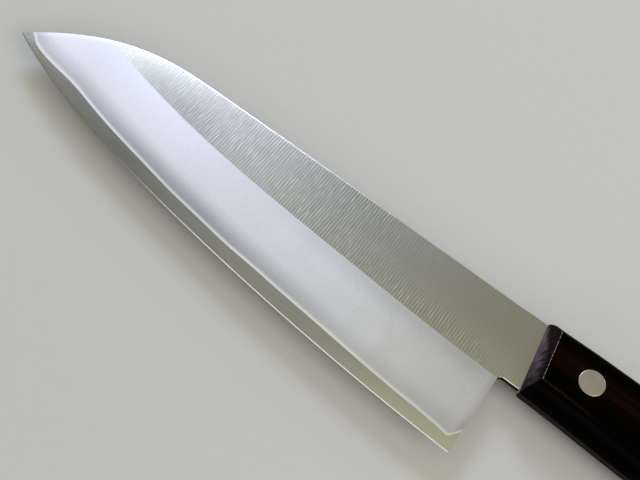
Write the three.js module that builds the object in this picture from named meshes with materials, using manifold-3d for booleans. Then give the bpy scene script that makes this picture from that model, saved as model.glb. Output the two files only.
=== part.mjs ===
// Santoku kitchen knife, lying on its right side: a three-layer blade with a full tang, two wooden
// scales and three two-piece rivets.
// Millimetres. +X runs from the tip to the butt, +Y from the cutting edge to the back, and +Z up out
// of the blade's left face. Everything is drawn from the heel corner, with the middle of the blade's
// thickness at Z = 0, and the finished knife is then set down on its resting face.

import * as THREE from 'three';
import { mergeVertices } from 'three/addons/utils/BufferGeometryUtils.js';
import Module from 'manifold-3d';

// Blade outline
const BLADE_LENGTH = 170;         // heel corner to tip
const BLADE_HEIGHT = 47;          // heel corner to the back, at the heel
const TIP_HEIGHT = 23.8;          // tip above the heel corner
const BELLY_RISE = 18.1;          // share of the tip's height that the long belly of the edge gives
const BELLY_POWER = 1.8;          // how late the belly rises
const TIP_SWEEP_POWER = 7.3;      // how late the last sweep to the tip rises
const BACK_FALL = 2.4;            // share of the back's fall that comes gradually from the heel
const BACK_FALL_POWER = 2.5;      // how late that fall comes
const NOSE_LENGTH = 53.5;         // stretch over which the nose turns down to the tip
const NOSE_POWER = 2.5;           // how late the nose turns down
const HEEL_LEAN = 1.1;            // how far the heel leans to the tip between edge and neck
const CHOIL_RADIUS = 1.4;         // fillet between the heel and the neck

// Blade layers and grind
const BLADE_THICKNESS = 1.8;
const CORE_THICKNESS = 0.6;
const BEVEL_HEIGHT = 25;          // bevel line above the edge, at the heel
const BEVEL_NARROWING = 2.2;      // how much lower it would run at the tip
const CORE_SHOWING = 4.7;         // end of the cladding above the edge
const TIP_CORE_SHOWING = 2.6;     // the same near the tip
const TIP_CORE_LENGTH = 7;        // stretch at the tip that stays so narrow
const TIP_CORE_BLEND = 20;        // stretch behind it, over which the core comes to its full showing
const SHOULDER_THICKNESS = 0.3;   // core just behind the honed edge
const HONED_HEIGHT = 0.5;         // honed edge
const BACK_CHAMFER = 0.3;         // broken corners of the back

// Handle outline
const HANDLE_FRONT = 5.4;         // heel corner to the scales along the underside
const FRONT_SLANT = 3.9;          // how much further forward the scales reach at the back
const NECK_DEPTH = 21;
const NECK_STEP = 0.3;            // stretch before the scales over which the tang steps down
const FRONT_DEPTH = 22;           // height of the handle's front
const HANDLE_LENGTH = 116;        // underside of the scales' front to the butt
const HANDLE_THICKNESS = 14;
const PALM_PLACE = 46;            // from the front to the fullest place of the underside
const PALM_DEPTH = 23.3;
const WAIST_PLACE = 80;           // from the front to the narrow place before the butt
const WAIST_DEPTH = 22.4;
const FLARE_PLACE = 106;          // from the front to the widest place of the butt
const FLARE_DEPTH = 25;
const DROOP_PLACE = 52;           // from the front to where the top starts to fall
const BUTT_DROOP = 2;             // fall of the top at the butt
const BUTT_TOP_RADIUS = 9;
const BUTT_UNDERSIDE_RADIUS = 5;

// Shaping of the scales
const FRONT_LEAN = 3.5;           // how far a scale's front end leans back over its thickness
const FRONT_BLEND = 14;           // stretch over which the sections turn square behind that end
const TOP_SLOPE = 2.8;            // height of the slope between the top and the side
const TOP_FULLNESS = 0.7;         // 0 is a flat slope, 1 a quarter ellipse
const UNDERSIDE_SLOPE = 4.4;
const UNDERSIDE_FULLNESS = 0.35;
const BUTT_ROUNDING = 3;
const LEAST_SCALE_EDGE = 0.5;     // straight edge left beside the tang

// Rivets
const RIVET_PLACE = 19;           // heel corner to the front rivet
const RIVET_SPACING = 38.5;
const RIVET_DROP = 10;            // back of the blade to the front rivet
const RIVET_FALL = 0.6;           // each next rivet is this much lower
const RIVET_HEAD_DIAMETER = 7.4;
const RIVET_HEAD_DEPTH = 2;
const RIVET_SEAT = 1.2;           // width of the seat under a head
const RIVET_TUBE_WALL = 0.8;
const RIVET_CLEARANCE = 0.1;      // around heads, tube and pin
const RIVET_END_GAP = 0.3;        // between the tube's end and the pin's head, and below the pin
const RIVET_NAMES = ['front', 'middle', 'rear'];

// Fineness of the curves
const ROUND_SIDES = 32;
const CORNER_STEPS = 6;
const TIP_STEPS = 6;              // tip to the cladding's end
const NOSE_STEPS = 14;            // on to the end of the flat
const FLAT_NOSE_STEPS = 10;       // on to the start of the nose
const STRAIGHT_STEPS = 12;        // on to the heel
const FRONT_STEPS = 4;            // front end of the scales
const GRIP_STEPS = 14;            // on to the round butt
const BUTT_STEPS = 10;
const PLACE_TOLERANCE = 1e-6;

// Values that follow from the sizes above
const CORE_FACE = CORE_THICKNESS / 2;
const BLADE_FACE = BLADE_THICKNESS / 2;
const HANDLE_FACE = HANDLE_THICKNESS / 2;
const SCALE_THICKNESS = HANDLE_FACE - BLADE_FACE;
const NECK_Y = BLADE_HEIGHT - NECK_DEPTH;
const TOP_FRONT_X = HANDLE_FRONT - FRONT_SLANT;
const BUTT_X = HANDLE_FRONT + HANDLE_LENGTH;
const TIP_X = -BLADE_LENGTH;
const NOSE_X = TIP_X + NOSE_LENGTH;
const RIVET_TUBE_RADIUS = RIVET_HEAD_DIAMETER / 2 - RIVET_SEAT;
const RIVET_BORE_RADIUS = RIVET_TUBE_RADIUS - RIVET_TUBE_WALL;
const RIVET_SEAT_Z = HANDLE_FACE - RIVET_HEAD_DEPTH;

const wasm = await Module();
wasm.setup();

// Closed bodies

// Joins equal corners, so that neighbouring faces share them, and drops faces that have shrunk to a line.
function weld(geometry) {
  const bare = new THREE.BufferGeometry();
  bare.setAttribute('position', geometry.getAttribute('position'));
  bare.setIndex(geometry.getIndex());
  const welded = mergeVertices(bare);
  const corners = welded.getIndex().array;
  const kept = [];
  for (let i = 0; i < corners.length; i += 3) {
    const [a, b, c] = corners.slice(i, i + 3);
    if (a !== b && b !== c && c !== a) kept.push(a, b, c);
  }
  welded.setIndex(kept);
  return welded;
}

// A closed body through rings of equally many points. Seen from the body's start, each ring runs
// anticlockwise. A ring may shrink to a line or a point.
function loft(rings) {
  const count = rings[0].length;
  const faces = [];
  for (let ring = 0; ring + 1 < rings.length; ring += 1) {
    for (let j = 0; j < count; j += 1) {
      const near = ring * count + j;
      const nearNext = ring * count + (j + 1) % count;
      faces.push(near, nearNext + count, nearNext, near, near + count, nearNext + count);
    }
  }
  const end = (rings.length - 1) * count;
  for (let j = 1; j + 1 < count; j += 1) {
    faces.push(0, j, j + 1, end, end + j + 1, end + j);
  }
  const geometry = new THREE.BufferGeometry();
  geometry.setAttribute('position', new THREE.Float32BufferAttribute(rings.flat(2), 3));
  geometry.setIndex(faces);
  return weld(geometry);
}

// The same ring on the left (+1) or the right (-1) side of the blade.
function onSide(ring, side) {
  const placed = ring.map(([x, y, z]) => [x, y, z * side]);
  return side > 0 ? placed : placed.reverse();
}

// A round bar along Z, used to cut a hole.
function bar(radius, [x, y], low, high) {
  const cylinder = new THREE.CylinderGeometry(radius, radius, high - low, ROUND_SIDES);
  return weld(cylinder.rotateX(Math.PI / 2).translate(x, y, (low + high) / 2));
}

function solid(geometry) {
  return new wasm.Manifold(new wasm.Mesh({
    numProp: 3,
    vertProperties: Float32Array.from(geometry.getAttribute('position').array),
    triVerts: Uint32Array.from(geometry.getIndex().array),
  }));
}

// The body with every one of the cutters taken out of it.
function cut(body, cutters) {
  const left = cutters.reduce((rest, cutter) => rest.subtract(solid(cutter)), solid(body));
  const mesh = left.getMesh();
  const geometry = new THREE.BufferGeometry();
  geometry.setAttribute('position', new THREE.BufferAttribute(mesh.vertProperties, 3));
  geometry.setIndex(new THREE.BufferAttribute(mesh.triVerts, 1));
  return geometry;
}

// Outline of the blade

function edgeY(x) {
  const run = -x / BLADE_LENGTH;
  return BELLY_RISE * run ** BELLY_POWER + (TIP_HEIGHT - BELLY_RISE) * run ** TIP_SWEEP_POWER;
}

function backY(x) {
  const run = -x / BLADE_LENGTH;
  const noseRun = Math.max((NOSE_X - x) / NOSE_LENGTH, 0);
  const noseFall = BLADE_HEIGHT - TIP_HEIGHT - BACK_FALL;
  return BLADE_HEIGHT - BACK_FALL * run ** BACK_FALL_POWER - noseFall * noseRun ** NOSE_POWER;
}

// Back above edge. They meet at the tip, where rounding alone can leave the back a hair lower.
function bladeHeight(x) {
  return Math.max(backY(x) - edgeY(x), 0);
}

// A line through places and heights that eases in and out at each of them.
function eased(points, x) {
  const next = points.findIndex(([place]) => x < place);
  if (next === 0) return points[0][1];
  if (next < 0) return points[points.length - 1][1];
  const [from, low] = points[next - 1];
  const [to, high] = points[next];
  return THREE.MathUtils.lerp(low, high, THREE.MathUtils.smoothstep(x, from, to));
}

// Heights above the edge: the bevel line, and the line where the cladding ends on the core.
function bevelRise(x) {
  return BEVEL_HEIGHT + BEVEL_NARROWING * x / BLADE_LENGTH;
}

function coreRise(x) {
  const narrowEnd = TIP_X + TIP_CORE_LENGTH;
  return eased([[narrowEnd, TIP_CORE_SHOWING], [narrowEnd + TIP_CORE_BLEND, CORE_SHOWING]], x);
}

// The place where a line that runs above the edge comes out at the back, near the tip.
function placeAtBack(riseAt) {
  let low = TIP_X;
  let high = 0;
  while (high - low > PLACE_TOLERANCE) {
    const middle = (low + high) / 2;
    if (bladeHeight(middle) < riseAt(middle)) low = middle;
    else high = middle;
  }
  return high;
}

// Half the blade's thickness at a height above the edge: honed edge, core, bevel, then the flat.
function halfThickness(x, rise) {
  const corners = [
    [0, 0],
    [HONED_HEIGHT, SHOULDER_THICKNESS / 2],
    [coreRise(x), CORE_FACE],
    [bevelRise(x), BLADE_FACE],
  ];
  const next = corners.findIndex(([height]) => rise < height);
  if (next < 0) return BLADE_FACE;
  const [lowRise, lowHalf] = corners[next - 1];
  const [highRise, highHalf] = corners[next];
  return THREE.MathUtils.mapLinear(rise, lowRise, highRise, lowHalf, highHalf);
}

// A blade section leans with the heel, less and less towards the nose.
function leanX(x, y) {
  const share = Math.max(0, 1 - x / NOSE_X);
  return x - HEEL_LEAN * share * y / NECK_Y;
}

// Outline of the neck and the handle

// How far a round corner of the butt draws the outline in.
function buttInset(x, radius) {
  const along = Math.min(Math.max(x - (BUTT_X - radius), 0), radius);
  return radius - Math.sqrt(radius ** 2 - along ** 2);
}

function topY(x) {
  const fall = eased([[HANDLE_FRONT + DROOP_PLACE, 0], [BUTT_X, BUTT_DROOP]], x);
  return BLADE_HEIGHT - fall - buttInset(x, BUTT_TOP_RADIUS);
}

function undersideY(x) {
  const depth = eased([
    [HANDLE_FRONT, FRONT_DEPTH],
    [HANDLE_FRONT + PALM_PLACE, PALM_DEPTH],
    [HANDLE_FRONT + WAIST_PLACE, WAIST_DEPTH],
    [HANDLE_FRONT + FLARE_PLACE, FLARE_DEPTH],
  ], x);
  return BLADE_HEIGHT - depth + buttInset(x, BUTT_UNDERSIDE_RADIUS);
}

// Stations along the knife

// Even steps from one place to the next, without the last.
function steps(from, to, count) {
  return Array.from({ length: count }, (_, i) => THREE.MathUtils.lerp(from, to, i / count));
}

const CLADDING_TIP_X = placeAtBack(coreRise);
const FLAT_TIP_X = placeAtBack(bevelRise);
const CLADDING_STATIONS = [
  ...steps(CLADDING_TIP_X, FLAT_TIP_X, NOSE_STEPS),
  ...steps(FLAT_TIP_X, NOSE_X, FLAT_NOSE_STEPS),
  ...steps(NOSE_X, 0, STRAIGHT_STEPS),
  0,
];
const CORE_STATIONS = [...steps(TIP_X, CLADDING_TIP_X, TIP_STEPS), ...CLADDING_STATIONS];

// Bottom points of the neck, along the choil fillet and on to the scales.
const CHOIL_X = leanX(0, NECK_Y - CHOIL_RADIUS);
const CHOIL_POINTS = steps(Math.PI, Math.PI / 2, CORNER_STEPS).map((angle) => [
  CHOIL_X + CHOIL_RADIUS * (1 + Math.cos(angle)),
  NECK_Y - CHOIL_RADIUS * (1 - Math.sin(angle)),
]);
const NECK_POINTS = [
  ...CHOIL_POINTS,
  [CHOIL_X + CHOIL_RADIUS, NECK_Y],
  [HANDLE_FRONT - NECK_STEP, NECK_Y],
];

// The handle's own stations, closer together round the butt.
const BUTT_ROUND_X = BUTT_X - Math.max(BUTT_TOP_RADIUS, BUTT_UNDERSIDE_RADIUS, BUTT_ROUNDING);
const BUTT_STATIONS = steps(0, Math.PI / 2, BUTT_STEPS).map((angle) => (
  THREE.MathUtils.lerp(BUTT_ROUND_X, BUTT_X, Math.sin(angle))
));
const HANDLE_STATIONS = [
  ...steps(HANDLE_FRONT, HANDLE_FRONT + FRONT_BLEND, FRONT_STEPS),
  ...steps(HANDLE_FRONT + FRONT_BLEND, BUTT_ROUND_X, GRIP_STEPS),
  ...BUTT_STATIONS,
  BUTT_X,
];

// The three layers of the blade and tang

// Half a section of the core, from the edge to the back.
function coreHalf(x) {
  const height = bladeHeight(x);
  const rises = [0, Math.min(HONED_HEIGHT, height), Math.min(coreRise(x), height), height];
  return rises.map((rise) => {
    const y = edgeY(x) + rise;
    return [leanX(x, y), y, Math.min(halfThickness(x, rise), CORE_FACE)];
  });
}

// Half a section of the core in the neck or tang, with as many points as one in the blade.
function tangCoreHalf(x, low, backPoint) {
  const foot = [x, low, CORE_FACE];
  return [[x, low, 0], foot, foot, backPoint];
}

function wholeRing(half) {
  const mirrored = half.slice(1).reverse().map(([x, y, z]) => [x, y, -z]);
  return [...half, ...mirrored];
}

function coreBody() {
  const blade = CORE_STATIONS.map(coreHalf);
  const heelBack = blade[blade.length - 1][3];
  const neck = NECK_POINTS.map(([x, low], i) => (
    tangCoreHalf(x, low, i === 0 ? heelBack : [x, BLADE_HEIGHT, CORE_FACE])
  ));
  const tang = HANDLE_STATIONS.map((x) => tangCoreHalf(x, undersideY(x), [x, topY(x), CORE_FACE]));
  return loft([...blade, ...neck, ...tang].map(wholeRing));
}

// A section of the left cladding: its thin end, the foot of its outer face, the bevel line, and the
// chamfered corner of the back.
function claddingRing(x) {
  const height = bladeHeight(x);
  const backHalf = halfThickness(x, height);
  const chamfer = Math.min(BACK_CHAMFER, (backHalf - CORE_FACE) / 2);
  const shoulder = height - chamfer;
  const bevel = Math.min(bevelRise(x), shoulder);
  const thinEnd = Math.min(coreRise(x), height);
  return [
    [thinEnd, CORE_FACE],
    [thinEnd, CORE_FACE],
    [bevel, halfThickness(x, bevel)],
    [shoulder, halfThickness(x, shoulder)],
    [height, backHalf - chamfer],
    [height, CORE_FACE],
  ].map(([rise, z]) => {
    const y = edgeY(x) + rise;
    return [leanX(x, y), y, z];
  });
}

// The neck keeps what is left of the bevel above its underside. Its back is chamfered up to the scales.
function neckCladdingRing(x, low) {
  const chamfer = x < TOP_FRONT_X ? BACK_CHAMFER : 0;
  return [
    [x, low, CORE_FACE],
    [x, low, halfThickness(0, low)],
    [x, Math.max(BEVEL_HEIGHT, low), BLADE_FACE],
    [x, BLADE_HEIGHT - chamfer, BLADE_FACE],
    [x, BLADE_HEIGHT, BLADE_FACE - chamfer],
    [x, BLADE_HEIGHT, CORE_FACE],
  ];
}

// The tang is a plain plate between the scales.
function tangCladdingRing(x) {
  const foot = [x, undersideY(x), BLADE_FACE];
  const back = [x, topY(x), BLADE_FACE];
  return [[x, undersideY(x), CORE_FACE], foot, foot, back, back, [x, topY(x), CORE_FACE]];
}

function claddingBody(side) {
  const blade = CLADDING_STATIONS.map(claddingRing);
  const heelBack = blade[blade.length - 1].slice(3);
  const neck = NECK_POINTS.map(([x, low], i) => {
    const ring = neckCladdingRing(x, low);
    return i === 0 ? [...ring.slice(0, 3), ...heelBack] : ring;
  });
  const tang = HANDLE_STATIONS.map(tangCladdingRing);
  return loft([...blade, ...neck, ...tang].map((ring) => onSide(ring, side)));
}

// Scales

// How far a point of a scale's front end stands before or behind the front at the neck's underside.
function frontShift(y, z) {
  const slant = FRONT_SLANT * (y - NECK_Y) / NECK_DEPTH;
  const lean = FRONT_LEAN * (z - BLADE_FACE) / SCALE_THICKNESS;
  return lean - slant;
}

// Points along a full slope of the section, from its end beside the tang to its end on the side.
function fullSlope(y, z, reachY, reachZ, fullness) {
  return Array.from({ length: CORNER_STEPS + 1 }, (_, i) => {
    const share = i / CORNER_STEPS;
    const angle = Math.PI / 2 * share;
    const shareY = THREE.MathUtils.lerp(share, 1 - Math.cos(angle), fullness);
    const shareZ = THREE.MathUtils.lerp(share, Math.sin(angle), fullness);
    return [y + reachY * shareY, z - reachZ * (1 - shareZ)];
  });
}

// A section of the left scale: flat on the tang, flat on the outside, sloping at top and underside.
function scaleRing(x) {
  const low = undersideY(x);
  const top = topY(x);
  const face = HANDLE_FACE - buttInset(x, BUTT_ROUNDING);
  const deepest = face - BLADE_FACE - LEAST_SCALE_EDGE;
  const section = [
    [low, BLADE_FACE],
    ...fullSlope(low, face, UNDERSIDE_SLOPE, deepest, UNDERSIDE_FULLNESS),
    ...fullSlope(top, face, -TOP_SLOPE, deepest, TOP_FULLNESS).reverse(),
    [top, BLADE_FACE],
  ];
  const blend = Math.max(0, 1 - (x - HANDLE_FRONT) / FRONT_BLEND);
  return section.map(([y, z]) => [x + blend * frontShift(y, z), y, z]);
}

function scaleBody(side) {
  return loft(HANDLE_STATIONS.map((x) => onSide(scaleRing(x), side)));
}

// Rivets

const RIVET_CENTRES = RIVET_NAMES.map((_, i) => [
  RIVET_PLACE + i * RIVET_SPACING,
  BLADE_HEIGHT - RIVET_DROP - i * RIVET_FALL,
]);

function tubeHoles() {
  const radius = RIVET_TUBE_RADIUS + RIVET_CLEARANCE;
  return RIVET_CENTRES.map((centre) => bar(radius, centre, -HANDLE_THICKNESS, HANDLE_THICKNESS));
}

function headHoles(side) {
  const radius = RIVET_HEAD_DIAMETER / 2 + RIVET_CLEARANCE;
  const ends = [side * RIVET_SEAT_Z, side * HANDLE_THICKNESS];
  return RIVET_CENTRES.map((centre) => bar(radius, centre, Math.min(...ends), Math.max(...ends)));
}

// A turned body on the Z axis. The profile's points are a radius and a height, from the top down.
function turned(profile, side) {
  const points = profile.map(([radius, height]) => new THREE.Vector2(radius, height)).reverse();
  return weld(new THREE.LatheGeometry(points, ROUND_SIDES).rotateX(side * Math.PI / 2));
}

function tubeBody() {
  return turned([
    [0, HANDLE_FACE],
    [RIVET_HEAD_DIAMETER / 2, HANDLE_FACE],
    [RIVET_HEAD_DIAMETER / 2, RIVET_SEAT_Z],
    [RIVET_TUBE_RADIUS, RIVET_SEAT_Z],
    [RIVET_TUBE_RADIUS, RIVET_END_GAP - RIVET_SEAT_Z],
    [RIVET_BORE_RADIUS, RIVET_END_GAP - RIVET_SEAT_Z],
    [RIVET_BORE_RADIUS, RIVET_SEAT_Z],
    [0, RIVET_SEAT_Z],
  ], 1);
}

function pinBody() {
  const pinRadius = RIVET_BORE_RADIUS - RIVET_CLEARANCE;
  return turned([
    [0, HANDLE_FACE],
    [RIVET_HEAD_DIAMETER / 2, HANDLE_FACE],
    [RIVET_HEAD_DIAMETER / 2, RIVET_SEAT_Z],
    [pinRadius, RIVET_SEAT_Z],
    [pinRadius, RIVET_END_GAP - RIVET_SEAT_Z],
    [0, RIVET_END_GAP - RIVET_SEAT_Z],
  ], -1);
}

// Finishes

const CLADDING_FINISH = { color: 0xc3c5c6, roughness: 0.38, metalness: 1 };
const CORE_FINISH = { color: 0x9b9b90, roughness: 0.24, metalness: 1 };
const WOOD_FINISH = { color: 0x231318, roughness: 0.3, metalness: 0 };
const RIVET_FINISH = { color: 0xa79f90, roughness: 0.34, metalness: 1 };

// Assembly

const knife = new THREE.Group();

function addPiece(name, geometry, finish, [x, y] = [0, 0]) {
  const flat = geometry.toNonIndexed();
  flat.computeVertexNormals();
  const piece = new THREE.Mesh(flat, new THREE.MeshStandardMaterial(finish));
  piece.name = name;
  piece.position.set(x, y, 0);
  knife.add(piece);
}

addPiece('core_steel', cut(coreBody(), tubeHoles()), CORE_FINISH);
for (const [name, side] of [['left', 1], ['right', -1]]) {
  addPiece(`${name}_cladding`, cut(claddingBody(side), tubeHoles()), CLADDING_FINISH);
  addPiece(`${name}_scale`, cut(scaleBody(side), [...tubeHoles(), ...headHoles(side)]), WOOD_FINISH);
}
RIVET_NAMES.forEach((name, i) => {
  addPiece(`${name}_rivet_tube`, tubeBody(), RIVET_FINISH, RIVET_CENTRES[i]);
  addPiece(`${name}_rivet_pin`, pinBody(), RIVET_FINISH, RIVET_CENTRES[i]);
});

// The knife lies on the right scale, with the middle of its outline over the origin.
const box = new THREE.Box3().setFromObject(knife);
const middle = box.getCenter(new THREE.Vector3());
knife.position.set(-middle.x, -middle.y, -box.min.z);

const part = new THREE.Group();
part.add(knife);

export default part;
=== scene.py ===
"""Finish for a santoku knife: a three-layer blade with a full tang, two wooden scales, three rivets.

Metres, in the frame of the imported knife: +X runs from the tip to the butt, +Y from the cutting edge
to the back, and +Z up out of the blade's left face. Sections are drawn from the heel corner, with
the middle of the blade's thickness at Z = 0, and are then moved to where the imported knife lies.
"""
import math
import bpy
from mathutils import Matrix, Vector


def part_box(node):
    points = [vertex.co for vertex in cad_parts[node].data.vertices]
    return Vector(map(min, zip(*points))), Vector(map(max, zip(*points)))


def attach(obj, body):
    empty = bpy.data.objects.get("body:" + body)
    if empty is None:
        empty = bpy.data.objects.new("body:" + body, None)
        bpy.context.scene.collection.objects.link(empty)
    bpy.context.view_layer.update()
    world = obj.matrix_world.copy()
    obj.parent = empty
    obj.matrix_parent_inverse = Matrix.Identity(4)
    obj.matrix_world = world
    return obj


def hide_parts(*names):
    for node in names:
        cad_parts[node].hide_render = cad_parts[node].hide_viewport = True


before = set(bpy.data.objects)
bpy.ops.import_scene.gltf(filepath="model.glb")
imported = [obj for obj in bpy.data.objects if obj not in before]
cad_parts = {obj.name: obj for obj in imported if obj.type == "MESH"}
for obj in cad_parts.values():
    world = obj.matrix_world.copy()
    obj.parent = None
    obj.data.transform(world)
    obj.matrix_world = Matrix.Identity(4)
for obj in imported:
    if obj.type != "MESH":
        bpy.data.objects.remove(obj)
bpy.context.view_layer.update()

from types import SimpleNamespace

import bmesh
import bpy
import numpy as np
from bpy.props import FloatProperty, FloatVectorProperty, PointerProperty
from bpy.types import Operator, Panel, PropertyGroup
from mathutils import Matrix, Vector

bl_info = {
    "name": "Santoku Knife",
    "version": (1, 0, 0),
    "blender": (4, 5, 0),
    "location": "View3D > Sidebar > Knife",
    "description": "Makes the blade, scales and rivets of a santoku knife, and a stage for it",
    "category": "Mesh",
}

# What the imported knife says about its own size
CORE_LOW, CORE_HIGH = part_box("core_steel")
LEFT_CLADDING_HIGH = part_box("left_cladding")[1]
LEFT_SCALE_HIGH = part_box("left_scale")[1]
MIDDLE_Z = (CORE_LOW.z + CORE_HIGH.z) / 2
RIVET_NAMES = ("front", "middle", "rear")
RIVET_BOXES = [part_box(f"{name}_rivet_tube") for name in RIVET_NAMES]
BODY = "root"
BRUSH_MAP = "brush"

# Fineness of the meshes
NOSE_STEPS = 90
TIP_CROWDING = 1.5
STRAIGHT_STEPS = 106
HEEL_STEPS = 20
HEEL_STRETCH = 0.0045
CHOIL_STEPS = 14
GRIP_STEPS = 60
BUTT_STEPS = 26
CORNER_STEPS = 14
BACK_STEPS = 6
FRONT_FACE_STEPS = 10
EDGE_STEPS = 4
ROUND_SIDES = 96
WELD = 2e-8
PLACE_TOLERANCE = 1e-9

# How corners and faces are told apart
SHARP_ANGLE = math.radians(32)
CRISP_TOLERANCE = 1e-5
DOWNWARD, UPWARD, BROKEN_CORNER = 0.35, 0.12, 0.3
HEEL_WALL = 0.0012

# Places where the blade's lines turn, counted from the heel corner or, where the name says so, the tip
BEVEL_RISES_FROM, BEVEL_RISES_TO = -0.120, -0.035
BACK_SHARPENS_FROM, BACK_SHARPENS_TO = -0.012, 0.0015
LEAST_BACK_ROUNDING = 0.00005
TIP_TO_UPTURN, TIP_TO_DIP, TIP_TO_FULL = 0.0024, 0.0062, 0.0270
CORE_LINE_DROPS = (
    # place, how far the cladding's end runs below its usual height there
    (-0.130, 0.0002), (-0.120, 0.0001), (-0.098, 0.0004), (-0.080, 0.0004), (-0.066, 0.0),
    (-0.046, 0.0), (-0.028, 0.0003), (-0.014, 0.0005), (-0.0072, 0.0007),
)
HEEL_DIP, HEEL_HOOK = -0.0028, 0.0006
WAVER_LONG, WAVER_SHORT, WAVER_START = 0.0072, 0.0031, 1.3

# Rows of a cladding's section: its thin end, shares of the bevel up to the neck, rim of the flat
THIN_END_POINTS = 3
BEVEL_SHARES = (0.06, 0.2, 0.4, 0.6, 0.8)
NECK_ROW = THIN_END_POINTS + len(BEVEL_SHARES)
FLAT_RIM = 0.0004

# Points of half a core section, counted up from the edge: the edge, the level of the neck, the back
EDGE, LEVEL, BACK = 0, 3, 4

# Shares of a scale's flat side at which its sections have points
FLAT_SHARES = (0.04, 0.5, 0.96)

# Camera
SENSOR_WIDTH = 36
CLIP_START = 0.01


def size(name, description, default):
    return FloatProperty(
        name=name, description=description, default=default, unit="LENGTH", precision=5)


def number(name, description, default):
    return FloatProperty(name=name, description=description, default=default, precision=3)


def colour(name, description, default):
    return FloatVectorProperty(
        name=name, description=description, default=default, subtype="COLOR", min=0, max=1)


class BladeSizes(PropertyGroup):
    """Outline, layers and grind of the blade."""
    length: size("Length", "Heel corner to tip", 0.170)
    height: size("Height", "Heel corner to the back, at the heel", CORE_HIGH.y - CORE_LOW.y)
    tip_height: size("Tip height", "Tip above the heel corner", 0.0238)
    belly_rise: size("Belly rise", "Part of the tip's height that the long belly gives", 0.0181)
    belly_power: number("Belly power", "How late the belly rises", 1.8)
    sweep_power: number("Sweep power", "How late the last sweep to the tip rises", 7.3)
    back_fall: size("Back fall", "Part of the back's fall that comes gradually from the heel", 0.0024)
    back_fall_power: number("Back fall power", "How late that fall comes", 2.5)
    nose_length: size("Nose length", "Stretch over which the nose turns down to the tip", 0.0535)
    nose_power: number("Nose power", "How late the nose turns down", 2.5)
    heel_lean: size("Heel lean", "How far the heel leans to the tip, up to the neck", 0.0011)
    choil_radius: size("Choil radius", "Fillet between the heel and the neck", 0.0014)
    face: size("Face", "Middle plane to the flat", LEFT_CLADDING_HIGH.z - MIDDLE_Z)
    core_face: size("Core face", "Middle plane to the core's side", CORE_HIGH.z - MIDDLE_Z)
    bevel_height: size("Bevel height", "Bevel line above the edge, where it runs highest", 0.0249)
    bevel_nose: size("Bevel at the nose", "Bevel line above the edge, along the nose", 0.0228)
    bevel_bulge: size("Bevel bulge", "Fullness of the bevel between its two lines", 0.00003)
    core_showing: size("Core showing", "End of the cladding above the edge", 0.00455)
    tip_showing: size("Tip showing", "The same in the narrow stretch before the tip", 0.00215)
    tip_upturn: size("Tip upturn", "The same where the cladding comes out at the back", 0.0031)
    heel_showing: size("Heel showing", "The same in the dip before the heel", 0.0034)
    heel_hook: size("Heel hook", "The same at the end of its hook past the heel", 0.0068)
    waver: size("Waver", "How far the cladding's end strays up and down", 0.00003)
    line_width: size("Line width", "Bright band along the cladding's end", 0.0009)
    shoulder: size("Shoulder", "Middle plane to the core's side above the honed edge", 0.00009)
    honed_height: size("Honed height", "Height of the honed edge", 0.00024)
    back_rounding: size("Back rounding", "Broken corners of the back", 0.0005)
    neck_break: size("Neck break", "Broken corner under the neck", 0.00013)


class HandleSizes(PropertyGroup):
    """Outline and roundings of the scales."""
    front: size("Front", "Heel corner to the scales along the underside", 0.0054)
    front_slant: size("Front slant", "How much further forward the scales reach at the back", 0.0039)
    neck_depth: size("Neck depth", "Height of the neck", 0.021)
    neck_step: size("Neck step", "Stretch before the scales over which the tang steps down", 0.0003)
    front_depth: size("Front depth", "Height of the handle's front", 0.022)
    face: size("Face", "Middle plane to the scale's side", LEFT_SCALE_HIGH.z - MIDDLE_Z)
    palm_place: size("Palm place", "Front to the fullest place of the underside", 0.046)
    palm_depth: size("Palm depth", "Height of the handle there", 0.0233)
    waist_place: size("Waist place", "Front to the narrow place before the butt", 0.080)
    waist_depth: size("Waist depth", "Height of the handle there", 0.0224)
    flare_place: size("Flare place", "Front to the widest place of the butt", 0.106)
    flare_depth: size("Flare depth", "Height of the handle there", 0.025)
    droop_place: size("Droop place", "Front to where the top starts to fall", 0.052)
    droop: size("Droop", "Fall of the top at the butt", 0.002)
    butt_top_radius: size("Butt top radius", "Upper corner of the butt", 0.009)
    butt_under_radius: size("Butt underside radius", "Lower corner of the butt", 0.005)
    front_lean: size("Front lean", "How far the front end leans back over a scale's thickness", 0.0035)
    front_crown: number("Front crown", "How much of that lean comes near the side", 1.6)
    front_blend: size("Front blend", "Stretch over which the sections turn square", 0.014)
    front_edge: size("Front edge", "Broken corner round the front end", 0.00008)
    top_slope: size("Top slope", "Height of the slope between the top and the side", 0.0028)
    top_fullness: number("Top fullness", "At the front. 0 is a flat slope, 1 a quarter ellipse", 0.60)
    grip_fullness: number("Grip fullness", "The same along the grip", 0.85)
    under_slope: size("Underside slope", "Height of the lower slope", 0.0044)
    under_fullness: number("Underside fullness", "0 is a flat slope, 1 a quarter ellipse", 0.35)
    butt_rounding: size("Butt rounding", "Round corner between the sides and the butt", 0.003)
    least_edge: size("Least edge", "Straight edge left beside the tang", 0.0005)


class RivetSizes(PropertyGroup):
    """The two-piece rivets."""
    head_depth: size("Head depth", "Thickness of a head", 0.002)
    seat: size("Seat", "Width of the seat under a head", 0.0012)
    tube_wall: size("Tube wall", "Wall of the tube", 0.0008)
    clearance: size("Clearance", "Gap around heads, tube and pin", 0.0001)
    end_gap: size("End gap", "Tube's end to the pin's head", 0.0003)
    rim: size("Rim", "Worn corner of a head", 0.0002)
    dome: size("Dome", "How far a head's middle stands above its rim", 0.00003)


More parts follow.
